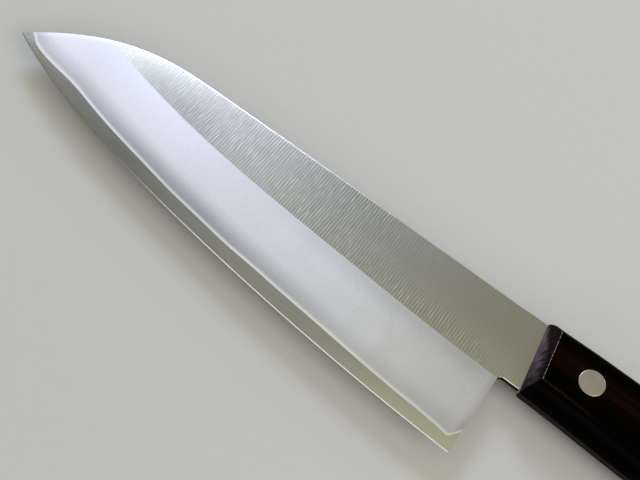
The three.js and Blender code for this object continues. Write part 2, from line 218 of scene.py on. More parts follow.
class Colours(PropertyGroup):
    """Colours of the finishes."""
    flat: colour("Flat", "Brushed flat of the blade", (0.592, 0.577, 0.540))
    haze: colour("Haze", "Hazy bevel", (0.846, 0.829, 0.860))
    line: colour("Line", "Bright band along the cladding's end", (0.93, 0.88, 0.865))
    line_rear: colour("Line at the heel", "The same towards the heel", (0.965, 0.945, 0.935))
    core: colour("Core", "Core between the band and the honed edge", (0.611, 0.608, 0.658))
    polished: colour("Polished", "Honed edge and polished back", (0.97, 0.97, 0.97))
    wood: colour("Wood", "Dark ground of the wood", (0.0006, 0.0004, 0.0004))
    streak: colour("Streak", "Red-brown streaks in the wood", (0.0040, 0.0011, 0.0008))
    heart: colour("Heart", "Redder wood through the middle of the sides", (0.0085, 0.0021, 0.0016))
    # A red-brown line along the corner above the lower slope, over the front of the handle
    arris: colour("Arris", "Worn corner above the lower slope", (0.026, 0.011, 0.010))
    # Painted highlight along the rounded corner round the front end, broken into flecks
    worn: colour("Worn", "Worn corner round the front end", (0.74, 0.68, 0.70))
    end_grain: colour("End grain", "Sanded front end of the scales", (0.082, 0.058, 0.070))
    rivet: colour("Rivet", "Rivet heads", (0.60, 0.54, 0.53))
    # Painted shade under the neck and tang
    underside: colour("Underside", "Dark underside of the neck and tang", (0.20, 0.19, 0.18))
    floor: colour("Floor", "Plain floor", (0.70, 0.70, 0.70))


class StageSettings(PropertyGroup):
    """Camera, lamps and floor."""
    camera: FloatVectorProperty(
        name="Camera", description="Place of the camera", subtype="XYZ", unit="LENGTH",
        default=(0.02325, -0.1311, 0.2600))
    target: FloatVectorProperty(
        name="Target", description="Point of the blade in the middle of the picture", subtype="XYZ",
        unit="LENGTH", default=(-0.03686, 0.00312, 0.0079))
    roll: FloatProperty(
        name="Roll", description="Turn of the camera about its own axis", subtype="ANGLE",
        default=math.radians(15.23))
    lens: FloatProperty(
        name="Lens", description="Focal length in millimetres on a 36 mm sensor", default=60.0)
    floor_size: size("Floor size", "Side of the floor", 8.0)
    room: colour("Room", "Light of the room", (1.0, 0.98, 0.69))
    room_strength: number("Room strength", "Brightness of the room", 0.288)


class Knife:
    """Outline and sections of the knife, drawn from the heel corner."""

    def __init__(self, scene):
        self.blade = scene.knife_blade
        self.handle = scene.knife_handle
        self.rivets = scene.knife_rivets
        blade, handle = self.blade, self.handle
        self.heel = Vector((CORE_LOW.x + blade.length, CORE_LOW.y, MIDDLE_Z))
        self.nose_x = blade.nose_length - blade.length
        self.neck_y = blade.height - handle.neck_depth
        self.butt_x = CORE_HIGH.x - self.heel.x
        self.choil_y = self.neck_y - blade.choil_radius
        self.choil_x = self.leaned_x(0, self.choil_y)
        self.cladding_tip_x = self.place_at_back(self.core_line)
        self.flat_tip_x = self.place_at_back(self.bevel_rise)

    def eased(self, points, x):
        """A line through places and heights that eases in and out at each of them."""
        places = [place for place, _ in points]
        heights = [height for _, height in points]
        if x <= places[0]:
            return heights[0]
        for i in range(1, len(points)):
            if x < places[i]:
                share = (x - places[i - 1]) / (places[i] - places[i - 1])
                share = share * share * (3 - 2 * share)
                return heights[i - 1] + share * (heights[i] - heights[i - 1])
        return heights[-1]

    def edge_y(self, x):
        blade = self.blade
        run = max(-x / blade.length, 0)
        sweep = blade.tip_height - blade.belly_rise
        return blade.belly_rise * run ** blade.belly_power + sweep * run ** blade.sweep_power

    def back_y(self, x):
        blade = self.blade
        run = max(-x / blade.length, 0)
        nose_run = max((self.nose_x - x) / blade.nose_length, 0)
        nose_fall = blade.height - blade.tip_height - blade.back_fall
        gradual = blade.back_fall * run ** blade.back_fall_power
        return blade.height - gradual - nose_fall * nose_run ** blade.nose_power

    def blade_height(self, x):
        return self.back_y(x) - self.edge_y(x)

    def bevel_rise(self, x):
        """Bevel line above the edge."""
        rises = [(BEVEL_RISES_FROM, self.blade.bevel_nose), (BEVEL_RISES_TO, self.blade.bevel_height)]
        return self.eased(rises, x)

    def core_line(self, x):
        """End of the cladding above the edge: narrow at the tip, wandering, hooking up at the heel."""
        blade = self.blade
        tip = -blade.length
        line = self.eased([
            (tip + TIP_TO_UPTURN, blade.tip_upturn),
            (tip + TIP_TO_DIP, blade.tip_showing),
            (tip + TIP_TO_FULL, blade.core_showing),
            *((place, blade.core_showing - drop) for place, drop in CORE_LINE_DROPS),
            (HEEL_DIP, blade.heel_showing),
            (HEEL_HOOK, blade.heel_hook),
        ], x)
        waves = math.sin(x / WAVER_LONG + WAVER_START) + math.sin(x / WAVER_SHORT)
        return line + blade.waver * waves

    def place_at_back(self, rise_at):
        """Where a line that runs above the edge comes out at the back, near the tip."""
        low, high = -self.blade.length, 0.0
        while high - low > PLACE_TOLERANCE:
            middle = (low + high) / 2
            if self.blade_height(middle) < rise_at(middle):
                low = middle
            else:
                high = middle
        return high

    def half_thickness(self, x, rise):
        """Honed edge, core, full bevel, then the flat."""
        blade = self.blade
        core_line, bevel = self.core_line(x), self.bevel_rise(x)
        if rise < blade.honed_height:
            return blade.shoulder * rise / blade.honed_height
        if rise < core_line:
            share = (rise - blade.honed_height) / (core_line - blade.honed_height)
            return blade.shoulder + share * (blade.core_face - blade.shoulder)
        if rise < bevel:
            share = (rise - core_line) / (bevel - core_line)
            bulge = 4 * blade.bevel_bulge * share * (1 - share)
            return blade.core_face + share * (blade.face - blade.core_face) + bulge
        return blade.face

    def leaned_x(self, x, y):
        """A blade section leans with the heel, less and less towards the nose."""
        return x - self.blade.heel_lean * max(0, 1 - x / self.nose_x) * y / self.neck_y

    def butt_inset(self, x, radius):
        along = min(max(x - (self.butt_x - radius), 0), radius)
        return radius - math.sqrt(max(radius ** 2 - along ** 2, 0))

    def top_y(self, x):
        handle = self.handle
        fall = self.eased([(handle.front + handle.droop_place, 0), (self.butt_x, handle.droop)], x)
        return self.blade.height - fall - self.butt_inset(x, handle.butt_top_radius)

    def under_y(self, x):
        handle = self.handle
        depth = self.eased([
            (handle.front, handle.front_depth),
            (handle.front + handle.palm_place, handle.palm_depth),
            (handle.front + handle.waist_place, handle.waist_depth),
            (handle.front + handle.flare_place, handle.flare_depth),
        ], x)
        return self.blade.height - depth + self.butt_inset(x, handle.butt_under_radius)

    def nose_stations(self):
        """Places along the blade, closest together at the tip and the heel."""
        steps = np.linspace(0, 1, NOSE_STEPS + 1) ** TIP_CROWDING
        nose = -self.blade.length + steps * self.blade.nose_length
        straight = np.linspace(self.nose_x, -HEEL_STRETCH, STRAIGHT_STEPS + 1)
        heel = np.linspace(-HEEL_STRETCH, 0, HEEL_STEPS + 1)
        return sorted({*nose, *straight, *heel, self.cladding_tip_x, self.flat_tip_x})

    def neck_points(self):
        """Bottom points of the neck, along the choil fillet and on to the scales."""
        radius = self.blade.choil_radius
        points = []
        for i in range(CHOIL_STEPS + 1):
            angle = math.pi / 2 * i / CHOIL_STEPS
            x = self.choil_x + radius * (1 - math.cos(angle))
            points.append((x, self.choil_y + radius * math.sin(angle)))
        return points + [(self.handle.front - self.handle.neck_step, self.neck_y)]

    def handle_stations(self):
        """Places along the handle, closest together round the butt."""
        handle = self.handle
        largest = max(handle.butt_top_radius, handle.butt_under_radius, handle.butt_rounding)
        round_x = self.butt_x - largest
        grip = np.linspace(handle.front, round_x, GRIP_STEPS, endpoint=False)
        turns = np.sin(np.linspace(0, math.pi / 2, BUTT_STEPS + 1))
        return [*grip, *(round_x + largest * turns)]

    def back_rounding(self, x):
        """The broken corner of the back runs out before the scales."""
        rounding = self.blade.back_rounding
        return self.eased([(BACK_SHARPENS_FROM, rounding), (BACK_SHARPENS_TO, LEAST_BACK_ROUNDING)], x)

    def rivet_centre(self, i):
        low, high = RIVET_BOXES[i]
        middle = (low + high) / 2 - self.heel
        return middle.x, middle.y

    def rivet_radius(self):
        low, high = RIVET_BOXES[0]
        return (high.x - low.x) / 2


class Skin:
    """Points and faces of a piece, collected ring by ring."""

    def __init__(self):
        self.points = []
        self.faces = []

    def ring(self, points):
        first = len(self.points)
        self.points.extend(points)
        return list(range(first, first + len(points)))

    def between(self, near, far):
        """Faces between two closed rings of equally many points."""
        for j in range(len(near)):
            k = (j + 1) % len(near)
            self.faces.append((near[j], near[k], far[k], far[j]))

    def along(self, rings):
        for near, far in zip(rings, rings[1:]):
            self.between(near, far)

    def shut(self, ring):
        """Faces across a ring whose second half runs back under its first half."""
        half = len(ring) // 2
        for j in range(half - 1):
            self.faces.append((ring[j], ring[j + 1], ring[-2 - j], ring[-1 - j]))

    def piece(self, name, offset, side=1):
        """The closed mesh, on the left (+1) or the right (-1) side of the blade."""
        mesh = bpy.data.meshes.new(name)
        builder = bmesh.new()
        made = [builder.verts.new((x, y, z * side)) for x, y, z in self.points]
        for face in self.faces:
            corners = []
            for i in face:
                if made[i] not in corners:
                    corners.append(made[i])
            builder.faces.new(corners)
        bmesh.ops.remove_doubles(builder, verts=builder.verts, dist=WELD)
        bmesh.ops.dissolve_degenerate(builder, edges=builder.edges, dist=WELD)
        bmesh.ops.recalc_face_normals(builder, faces=builder.faces)
        bmesh.ops.translate(builder, verts=builder.verts, vec=offset)
        builder.to_mesh(mesh)
        builder.free()
        piece = bpy.data.objects.new(name, mesh)
        bpy.context.scene.collection.objects.link(piece)
        return piece


def turned(profile):
    """A body turned about the Z axis. Each point of its profile is a radius and a height."""
    skin = Skin()
    rings = []
    for radius, height in profile:
        angles = [2 * math.pi * i / ROUND_SIDES for i in range(ROUND_SIDES)]
        rings.append(skin.ring([(radius * math.cos(a), radius * math.sin(a), height) for a in angles]))
    skin.along(rings)
    return skin


def plate_bore(knife):
    """Bore for a tube, right through the knife."""
    radius = knife.rivet_radius() - knife.rivets.seat + knife.rivets.clearance
    reach = 2 * knife.handle.face
    return [(0, -reach), (radius, -reach), (radius, reach), (0, reach)]


def scale_bore(knife):
    """The same with room for a head above its seat."""
    start, low, (radius, reach), end = plate_bore(knife)
    head = radius + knife.rivets.seat
    seat = knife.handle.face - knife.rivets.head_depth
    return [start, low, (radius, seat), (head, seat), (head, reach), end]


def cut_holes(piece, knife, profile, side=1):
    """Takes a turned bore out of a piece at every rivet."""
    for i in range(len(RIVET_NAMES)):
        x, y = knife.rivet_centre(i)
        cutter = turned(profile).piece("cutter", knife.heel + Vector((x, y, 0)), side)
        boolean = piece.modifiers.new("bore", "BOOLEAN")
        boolean.operation = "DIFFERENCE"
        boolean.solver = "EXACT"
        boolean.object = cutter
        bpy.context.view_layer.update()
        shape = piece.evaluated_get(bpy.context.evaluated_depsgraph_get())
        cut = bpy.data.meshes.new_from_object(shape)
        piece.modifiers.clear()
        old = piece.data
        piece.data = cut
        cut.name = piece.name
        bpy.data.meshes.remove(old)
        mesh = cutter.data
        bpy.data.objects.remove(cutter)
        bpy.data.meshes.remove(mesh)


def shade(piece, finishes, choose):
    """Smooth faces with sharp corners. Each face gets the finish that choose names."""
    mesh = piece.data
    mesh.materials.clear()
    names = list(finishes)
    for name in names:
        mesh.materials.append(finishes[name])
    mesh.polygons.foreach_set("use_smooth", [True] * len(mesh.polygons))
    mesh.set_sharp_from_angle(angle=SHARP_ANGLE)
    for face in mesh.polygons:
        face.material_index = names.index(choose(face))


def keep_crisp(piece, name, level):
    """Keeps the corner crisp along the line where a note has some value."""
    mesh = piece.data
    values = [item.value for item in mesh.attributes[name].data]
    for edge in mesh.edges:
        if all(abs(values[i] - level) < CRISP_TOLERANCE for i in edge.vertices):
            edge.use_edge_sharp = True


def named(*finishes):
    """Finishes by their names."""
    return {finish.name: finish for finish in finishes}


def stands_for(piece, node):
    """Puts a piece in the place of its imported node, on the knife's one body."""
    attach(piece, BODY)
    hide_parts(node)


def note_places(piece, knife):
    """Writes on a blade piece how far each point lies from the blade's lines."""
    mesh = piece.data
    notes = {name: [] for name in ("along", "rise", "above_bevel", "above_core", "below_back")}
    for vertex in mesh.vertices:
        x, y, _ = vertex.co - knife.heel
        along = x + (x - knife.leaned_x(x, y))
        on_blade = min(along, 0)
        rise = y - knife.edge_y(on_blade)
        behind = max(along, 0)
        notes["along"].append(along)
        notes["rise"].append(rise)
        notes["above_bevel"].append(rise - knife.bevel_rise(on_blade) + behind)
        notes["above_core"].append(rise - knife.core_line(on_blade))
        notes["below_back"].append(knife.back_y(on_blade) - y)
    for name, values in notes.items():
        mesh.attributes.new(name, "FLOAT", "POINT").data.foreach_set("value", values)
    brush = mesh.uv_layers.new(name=BRUSH_MAP)
    for corner, spot in zip(mesh.loops, brush.data):
        place = mesh.vertices[corner.vertex_index].co
        spot.uv = [place.dot(direction) for direction in BRUSHED]


def note_wood(piece, knife):
    """Writes on a scale how far each point lies above the lower slope and out from the tang."""
    blade, handle = knife.blade, knife.handle
    above, outward = [], []
    for vertex in piece.data.vertices:
        x, y, z = vertex.co - knife.heel
        above.append(y - knife.under_y(x) - handle.under_slope)
        outward.append((abs(z) - blade.face) / (handle.face - blade.face))
    for name, values in (("above_arris", above), ("outward", outward)):
        piece.data.attributes.new(name, "FLOAT", "POINT").data.foreach_set("value", values)


def mean_note(piece, name, face):
    """Mean of a note over the corners of a face."""
    values = piece.data.attributes[name].data
    return sum(values[i].value for i in face.vertices) / len(face.vertices)


def on_neck(piece, knife, face):
    """Whether a face belongs to the choil, the neck or the tang."""
    behind_heel = mean_note(piece, "along", face) > -HEEL_WALL
    return behind_heel and mean_note(piece, "rise", face) > knife.choil_y / 2


def rim_finish(piece, knife, face):
    """Finish of a face on the underside of the neck and tang or on the back, if it is one."""
    if on_neck(piece, knife, face) and face.normal.y < -DOWNWARD:
        # Faces under the neck and tang get painted shade; their broken corners stay polished
        return "polished_back" if abs(face.normal.z) > BROKEN_CORNER else "dark_underside"
    return "polished_back" if face.normal.y > UPWARD else None


# Sections of the blade and tang. Each is a list of points, with equally many at every place.

def neck_share(knife):
    """Share of the bevel, at the heel, up to where the choil begins."""
    low = knife.core_line(0)
    return (knife.choil_y - low) / (knife.bevel_rise(0) - low)


def cladding_section(knife, x):
    """Inner foot, two points at the thin end, the bevel, the flat, the round back, the inner side."""
    blade = knife.blade
    height = knife.blade_height(x)
    thin = min(knife.core_line(x), height)
    corner = min(knife.back_rounding(x), (knife.half_thickness(x, height) - blade.core_face) / 2)
    shoulder = height - corner
    bevel = min(knife.bevel_rise(x), shoulder)
    level = thin + neck_share(knife) * (bevel - thin)
    flat_start = min(bevel + FLAT_RIM, shoulder)
    flat_end = max(flat_start, shoulder - FLAT_RIM)
    rows = [(thin, blade.core_face)] * THIN_END_POINTS
    rises = [thin + share * (level - thin) for share in BEVEL_SHARES]
    rises += [level, bevel, flat_start, flat_end, shoulder]
    rows += [(rise, knife.half_thickness(x, rise)) for rise in rises]
    half = knife.half_thickness(x, shoulder)
    for i in range(1, BACK_STEPS + 1):
        angle = math.pi / 2 * i / BACK_STEPS
        rows.append((shoulder + corner * math.sin(angle), half - corner * (1 - math.cos(angle))))
    rows += [(height, blade.core_face), (level, blade.core_face)]
    edge = knife.edge_y(x)
    return [(knife.leaned_x(x, edge + rise), edge + rise, half) for rise, half in rows]


def neck_cladding_section(knife, x, low):
    """The neck keeps what is left of the bevel above its underside."""
    blade = knife.blade
    section = cladding_section(knife, 0)
    corner = knife.back_rounding(x)
    ends = len(section) - 2
    broken = min(blade.neck_break, low - knife.choil_y)
    points = [(x, low, blade.core_face), (x, low, knife.half_thickness(0, low) - broken)]
    for _, y, half in section[2:ends]:
        above = max(y, low + broken)
        points.append((x, above, half if y >= low + broken else knife.half_thickness(0, above)))
    for i in range(BACK_STEPS + 1):
        angle = math.pi / 2 * i / BACK_STEPS
        y = blade.height - corner * (1 - math.sin(angle))
        points[ends - 1 - BACK_STEPS + i] = (x, y, blade.face - corner * (1 - math.cos(angle)))
    return points + [(x, blade.height, blade.core_face), (x, low, blade.core_face)]


def tang_cladding_section(knife, x):
    """The tang is a plain plate between the scales."""
    blade = knife.blade
    under, top = knife.under_y(x), knife.top_y(x)
    foot, back = (x, under, blade.face), (x, top, blade.face)
    inner_foot, inner_back = (x, under, blade.core_face), (x, top, blade.core_face)
    low_part = [inner_foot] + [foot] * NECK_ROW
    inner_part = [inner_back, inner_foot]
    high_rows = len(cladding_section(knife, 0)) - len(low_part) - len(inner_part)
    return low_part + [back] * high_rows + inner_part


def cladding_skin(knife):
    skin = Skin()
    stations = [x for x in knife.nose_stations() if x >= knife.cladding_tip_x]
    blade = [skin.ring(cladding_section(knife, x)) for x in stations]
    skin.along(blade)
    heel = cladding_section(knife, 0)
    first = [heel[-1]] + [heel[NECK_ROW]] * NECK_ROW + heel[NECK_ROW + 1:]
    neck = [skin.ring(first)]
    neck += [skin.ring(neck_cladding_section(knife, x, low)) for x, low in knife.neck_points()[1:]]
    tang = [skin.ring(tang_cladding_section(knife, x)) for x in knife.handle_stations()]
    skin.along(neck + tang)
    heel_wall = blade[-1][THIN_END_POINTS - 1:NECK_ROW + 1] + [blade[-1][-1]]
    skin.faces.append(heel_wall[::-1])
    end = tang[-1]
    skin.faces.append((end[1], end[NECK_ROW + 1], end[-2], end[-1]))
    return skin


def core_section(knife, x):
    """Half a section of the core: edge, honed edge, end of the cladding, level of the neck, back."""
    blade = knife.blade
    height = knife.blade_height(x)
    line = min(knife.core_line(x), height)
    level = line + neck_share(knife) * (min(knife.bevel_rise(x), height) - line)
    edge = knife.edge_y(x)
    half = []
    for rise in (0, min(blade.honed_height, height), line, level, height):
        y = edge + rise
        half.append((knife.leaned_x(x, y), y, min(knife.half_thickness(x, rise), blade.core_face)))
    return half


def whole(half):
    """Both sides of a core section, from its left half."""
    return half + [(x, y, -z) for x, y, z in half[:0:-1]]


def core_skin(knife):
    skin = Skin()
    face = knife.blade.core_face
    halves = [core_section(knife, x) for x in knife.nose_stations()]
    blade = [skin.ring(whole(half)) for half in halves]
    skin.along(blade)
    level, back = halves[-1][LEVEL], halves[-1][BACK]
    bottom = (level[0], level[1], 0)
    tang_halves = [[bottom] + [level] * LEVEL + [back]]
    ends = [(x, low, knife.blade.height) for x, low in knife.neck_points()[1:]]
    ends += [(x, knife.under_y(x), knife.top_y(x)) for x in knife.handle_stations()]
    for x, low, top in ends:
        foot = (x, low, face)
        tang_halves.append([(x, low, 0)] + [foot] * LEVEL + [(x, top, face)])
    tang = [skin.ring(whole(half)) for half in tang_halves]
    skin.along(tang)
    last, end = blade[-1], tang[-1]
    heel_wall = [*last[:BACK], tang[0][EDGE], *last[-LEVEL:]]
    skin.faces.append(heel_wall[::-1])
    skin.faces.append((end[EDGE], *end[LEVEL:BACK + LEVEL]))
    return skin


# Sections of the scales

def slope_shares(fullness):
    """Shares of a slope's height and depth, from its end beside the tang to its end on the side."""
    shares = []
    for i in range(CORNER_STEPS + 1):
        share = i / CORNER_STEPS
        angle = math.pi / 2 * share
        across = share + fullness * (1 - math.cos(angle) - share)
        shares.append((across, share + fullness * (math.sin(angle) - share)))
    return shares


def scale_outline(knife, x, inset=0.0):
    """Outer side of a section, from the tang's underside round to its top, as heights and depths."""
    blade, handle = knife.blade, knife.handle
    low, top = knife.under_y(x), knife.top_y(x)
    face = handle.face - knife.butt_inset(x, handle.butt_rounding)
    deepest = face - blade.face - handle.least_edge
    grip = handle.front + handle.front_blend
    top_fullness = knife.eased([(handle.front, handle.top_fullness), (grip, handle.grip_fullness)], x)
    points = [(low, blade.face)]
    for across, out in slope_shares(handle.under_fullness):
        points.append((low + handle.under_slope * across, face - deepest * (1 - out)))
    flat_low, flat_high = low + handle.under_slope, top - handle.top_slope
    for share in FLAT_SHARES:
        points.append((flat_low + share * (flat_high - flat_low), face))
    for across, out in reversed(slope_shares(top_fullness)):
        points.append((top - handle.top_slope * across, face - deepest * (1 - out)))
    points.append((top, blade.face))
    if inset:
        points = drawn_in(points, inset)
    return points


def drawn_in(points, inset):
    """The outline moved inwards. Its two ends stay on the tang."""
    moved = []
    for j, (y, z) in enumerate(points):
        before, after = points[max(j - 1, 0)], points[min(j + 1, len(points) - 1)]
        along_y, along_z = after[0] - before[0], after[1] - before[1]
        length = math.hypot(along_y, along_z)
        moved.append((y + inset * along_z / length, z - inset * along_y / length))
    moved[0] = (points[0][0] + inset, points[0][1])
    moved[-1] = (points[-1][0] - inset, points[-1][1])
    return moved


def front_shift(knife, y, z):
    """How far a point of the front end stands before or behind the front at the underside."""
    blade, handle = knife.blade, knife.handle
    slant = handle.front_slant * (y - knife.neck_y) / handle.neck_depth
    share = max((z - blade.face) / (handle.face - blade.face), 0)
    return handle.front_lean * share ** handle.front_crown - slant


def scale_ring(knife, outline, x, blend):
    """A closed ring: the outline, then back along the tang at the same heights."""
    face = knife.blade.face
    outer = [(x + blend * front_shift(knife, y, z), y, z) for y, z in outline]
    inner = [(x + blend * front_shift(knife, y, face), y, face) for y, _ in outline]
    return outer + inner[::-1]


def scale_skin(knife):
    skin = Skin()
    handle, face = knife.handle, knife.blade.face
    edge = handle.front_edge
    rings = []
    front = scale_outline(knife, handle.front, edge)
    for i in range(FRONT_FACE_STEPS + 1):
        share = i / FRONT_FACE_STEPS
        grown = [(y, face + share * (z - face)) for y, z in front]
        rings.append(skin.ring(scale_ring(knife, grown, handle.front, 1)))
    for i in range(1, EDGE_STEPS + 1):
        angle = math.pi / 2 * i / EDGE_STEPS
        outline = scale_outline(knife, handle.front, edge * (1 - math.sin(angle)))
        behind = handle.front + edge * (1 - math.cos(angle))
        rings.append(skin.ring(scale_ring(knife, outline, behind, 1)))
    for x in knife.handle_stations()[1:]:
        blend = max(0, 1 - (x - handle.front - edge) / handle.front_blend)
        rings.append(skin.ring(scale_ring(knife, scale_outline(knife, x), x, blend)))
    skin.along(rings)
    skin.shut(rings[-1])
    return skin


# Profiles of the rivets, as radius and height

def head_profile(knife):
    """Upper side of a head with its worn rim, from the middle out, and down to the seat."""
    rivets, radius, top = knife.rivets, knife.rivet_radius(), knife.handle.face
    flat = radius - rivets.rim
    points = []
    for i in range(CORNER_STEPS + 1):
        share = i / CORNER_STEPS
        points.append((flat * share, top - rivets.dome * share ** 2))
    for i in range(1, EDGE_STEPS + 1):
        angle = math.pi / 2 * i / EDGE_STEPS
        height = top - rivets.dome - rivets.rim * (1 - math.cos(angle))
        points.append((flat + rivets.rim * math.sin(angle), height))
    return points + [(radius, top - rivets.head_depth)]


def tube_profile(knife):
    rivets, seat = knife.rivets, knife.handle.face - knife.rivets.head_depth
    tube = knife.rivet_radius() - rivets.seat
    bore = tube - rivets.tube_wall
    end = rivets.end_gap - seat
    return head_profile(knife) + [(tube, seat), (tube, end), (bore, end), (bore, seat), (0, seat)]


def pin_profile(knife):
    rivets, seat = knife.rivets, knife.handle.face - knife.rivets.head_depth
    pin = knife.rivet_radius() - rivets.seat - rivets.tube_wall - rivets.clearance
    end = rivets.end_gap - seat
    return head_profile(knife) + [(pin, seat), (pin, end), (0, end)]


# Textures that the finishes are made of, in metres

STREAKS = {
    # width, length, depth, detail
    "hairs": (0.00030, 0.0034, 0.01, 1.0),
    "satin": (0.00012, 0.008, 0.01, 1.0),
    "core_polish": (0.00022, 0.014, 0.01, 1.0),
    "stone_marks": (0.00008, 0.001, 0.001, 2.0),
    "back_polish": (0.00009, 0.009, 0.002, 2.0),
    "forge_wear": (0.0003, 0.005, 0.002, 2.0),
    "wide_figure": (0.0042, 0.060, 0.0042, 3.0),
    "narrow_figure": (0.0009, 0.028, 0.0009, 3.0),
    "pores": (0.00022, 0.0035, 0.00022, 2.0),
    "scratches": (0.00022, 0.0045, 0.002, 2.0),
    "grinding": (0.00012, 0.004, 0.004, 2.0),
}
GRAINS = {
    # width, detail
    "brushing_patches": (0.005, 2.0),
    "haze_cloud": (0.012, 2.0),
    "haze_speckle": (0.00042, 3.0),
    "core_cloud": (0.009, 2.0),
    "underside_mottle": (0.0006, 4.0),
    "wood_flecks": (0.0004, 2.0),
    "sanding_patches": (0.0022, 2.0),
    "rivet_cloud": (0.0035, 2.0),
    "floor_grain": (0.004, 2.0),
}
RELIEF = {
    # height of the fine relief on each finish
    "brushed_flat": 0.0000006,
    "hazy_bevel": 0.000002,
    "polished_core": 0.0000001,
    "honed_edge": 0.0000001,
    "polished_back": 0.0000004,
    "dark_underside": 0.000006,
    "dark_wood": 0.000008,
    "rivet_steel": 0.000003,
}

# Directions of streaks: across them, then along them
BRUSH_ANGLE = math.radians(2)
BRUSHED = (
    Vector((math.cos(BRUSH_ANGLE), math.sin(BRUSH_ANGLE), 0)),
    Vector((-math.sin(BRUSH_ANGLE), math.cos(BRUSH_ANGLE), 0)),
)
LENGTHWISE = (Vector((0, 1, 0)), Vector((1, 0, 0)))
ALONG_THE_BACK = (Vector((0, 0, 1)), Vector((1, 0, 0)))
SANDED = (Vector((0, 0.82, -0.57)), Vector((0, 0.57, 0.82)))

# Ridges of the brushing: width, length and depth of their waver and their breaks, counted in spacings
RIDGE_SPACING, FINE_RIDGE_SPACING = 0.00088, 0.00060
RIDGE_WAVER, RIDGE_BREAKS = (3, 6, 9), (1.1, 4, 9)
RIDGE_SWAY = 4.4
RIDGE_STRENGTH = (0.3, 0.7, 0.6, 1.2)


class Finish:
    """A material that is put together node by node."""

    COLOUR_FIRST, COLOUR_SECOND, COLOUR_MIXED = 6, 7, 2
    NUMBER_FIRST, NUMBER_SECOND, NUMBER_MIXED = 2, 3, 0

    def __init__(self, name):
        self.material = bpy.data.materials.get(name) or bpy.data.materials.new(name)
        self.material.use_nodes = True
        self.tree = self.material.node_tree
        self.tree.nodes.clear()

    def feed(self, socket, value):
        if isinstance(value, bpy.types.NodeSocket):
            self.tree.links.new(value, socket)
        elif socket.type == "RGBA":
            socket.default_value = (*value, 1)
        else:
            socket.default_value = value

    def node(self, kind, inputs=(), **settings):
        made = self.tree.nodes.new(kind)
        for key, value in settings.items():
            setattr(made, key, value)
        for key, value in dict(inputs).items():
            self.feed(made.inputs[key], value)
        return made

    def note(self, name):
        """A number that was written on the mesh."""
        return self.node("ShaderNodeAttribute", attribute_name=name).outputs["Fac"]

    def place(self):
        return self.node("ShaderNodeTexCoord").outputs["Object"]

    def parts(self, vector):
        return self.node("ShaderNodeSeparateXYZ", {0: vector}).outputs

    def math(self, operation, first, *others):
        """One operation on a value alone, or on it and each of the others in turn."""
        for other in others or (0.0,):
            first = self.node("ShaderNodeMath", {0: first, 1: other}, operation=operation).outputs[0]
        return first

    def total(self, *values):
        return self.math("ADD", *values)

    def product(self, *values):
        return self.math("MULTIPLY", *values)

    def away_from(self, centre, value):
        """How far a value lies from a centre, either way."""
        return self.math("ABSOLUTE", self.math("SUBTRACT", value, centre))

    def blend(self, weights, **values):
        """The sum of some values by their weights, and of a base."""
        total = weights["base"]
        for name, value in values.items():
            total = self.total(self.product(value, weights[name]), total)
        return total

    def step(self, value, low, high, before, after):
        """A soft step from one value to another."""
        inputs = {"Value": value, "From Min": low, "From Max": high, "To Min": before, "To Max": after}
        return self.node("ShaderNodeMapRange", inputs, interpolation_type="SMOOTHSTEP").outputs[0]

    def steps(self, table, **sources):
        """All soft steps of a table, by name. What isn't given as a source is a note on the mesh."""
        made = SimpleNamespace()
        for name, (source, *span) in table.items():
            if source not in sources:
                sources[source] = self.note(source)
            setattr(made, name, self.step(sources[source], *span))
        return made

    def mix(self, share, first, second):
        """A mix of two colours."""
        inputs = {0: share, self.COLOUR_FIRST: first, self.COLOUR_SECOND: second}
        return self.node("ShaderNodeMix", inputs, data_type="RGBA").outputs[self.COLOUR_MIXED]

    def between(self, share, first, second):
        """A mix of two numbers."""
        inputs = {0: share, self.NUMBER_FIRST: first, self.NUMBER_SECOND: second}
        return self.node("ShaderNodeMix", inputs).outputs[self.NUMBER_MIXED]

    def scaled(self, vector, share):
        """A place or a colour, multiplied by a number."""
        inputs = {0: vector, "Scale": share}
        return self.node("ShaderNodeVectorMath", inputs, operation="SCALE").outputs[0]

    def across(self, direction, width):
        """The place along a direction, counted in widths."""
        inputs = {0: self.place(), 1: direction / width}
        return self.node("ShaderNodeVectorMath", inputs, operation="DOT_PRODUCT").outputs["Value"]

    def noise(self, vector, detail):
        inputs = {"Vector": vector, "Scale": 1.0, "Detail": detail}
        return self.node("ShaderNodeTexNoise", inputs).outputs[0]

    def drawn_out(self, directions, width, length, depth, detail=2.0):
        """Noise drawn out along the second of two directions."""
        across, along = directions
        spans = (across, width), (along, length), (across.cross(along), depth)
        counts = {i: self.across(direction, span) for i, (direction, span) in enumerate(spans)}
        return self.noise(self.node("ShaderNodeCombineXYZ", counts).outputs[0], detail)

    def streaks(self, name, directions):
        return self.drawn_out(directions, *STREAKS[name])

    def grain(self, name):
        width, detail = GRAINS[name]
        return self.noise(self.scaled(self.place(), 1 / width), detail)

    def ridges(self, directions, spacing):
        """Evenly spaced ridges, between about -1 and 1, that waver, come and go."""
        waver, breaks = (
            self.drawn_out(directions, *(spacing * part for part in parts))
            for parts in (RIDGE_WAVER, RIDGE_BREAKS))
        even = self.across(directions[0], spacing / (2 * math.pi))
        phase = self.total(even, self.product(waver, RIDGE_SWAY))
        return self.product(self.math("SINE", phase), self.step(breaks, *RIDGE_STRENGTH))

    def bump(self, height):
        inputs = {"Strength": 1.0, "Distance": RELIEF[self.material.name], "Height": height}
        return self.node("ShaderNodeBump", inputs).outputs[0]

    def done(self, **inputs):
        """Links the inputs to one surface shader. An underscore in a name stands for a space."""
        spaced = {key.replace("_", " "): value for key, value in inputs.items()}
        surface = self.node("ShaderNodeBsdfPrincipled", spaced)
        output = self.node("ShaderNodeOutputMaterial")
        self.tree.links.new(surface.outputs[0], output.inputs["Surface"])
        return self.material


# Finishes, with tables of their soft steps and of the weights of what makes each surface uneven

